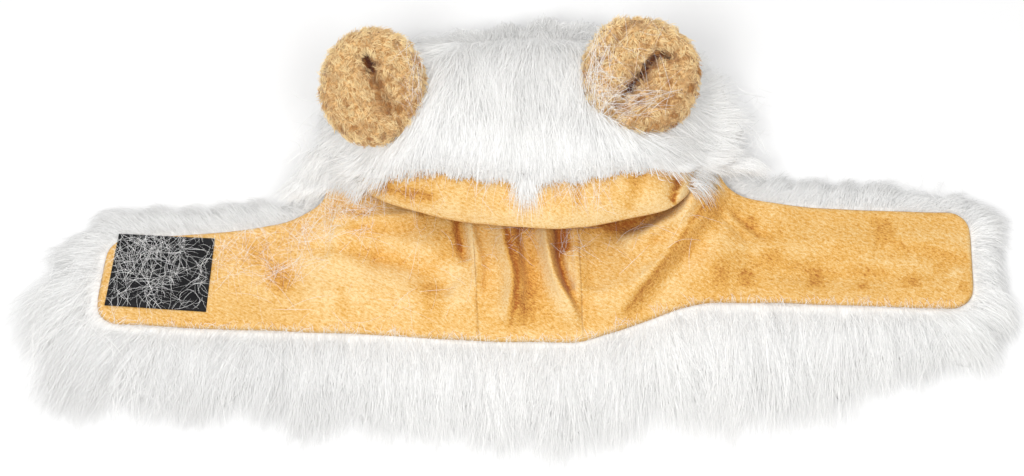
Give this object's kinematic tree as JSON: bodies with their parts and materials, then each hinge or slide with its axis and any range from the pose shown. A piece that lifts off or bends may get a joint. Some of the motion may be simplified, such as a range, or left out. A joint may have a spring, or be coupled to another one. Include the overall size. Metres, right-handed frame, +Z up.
{
  "type": "pet lion mane wig",
  "caption": "Hood for a cat or small dog with long white fur outside, tan velour lining, round plush ears and two straps that close with hook and loop tape, lying open.",
  "frame": {"origin": "centre of the wig's box in plan, on the surface that it lies on", "axes": "+X along the straps to the right strap's end, +Y from the open mouth of the hood to the back of its crown, +Z up from the surface"},
  "size_m": [0.4288, 0.2108, 0.0763],
  "materials": {
    "lining_velour": "short tan velour with a soft nap",
    "white_fur": "long white pile fur cloth",
    "ear_plush": "tan curly plush",
    "hook_tape": "black moulded nylon hooks",
    "loop_tape": "black brushed nylon loops"
  },
  "bodies": {
    "root": {"lining_left": "lining_velour", "lining_centre": "lining_velour", "lining_right": "lining_velour", "lining_crown": "lining_velour", "fur_band": "white_fur", "fur_crown": "white_fur", "ear_left": "ear_plush", "ear_right": "ear_plush", "hook_patch": "hook_tape", "loop_patch": "loop_tape"}
  },
  "joints": []
}
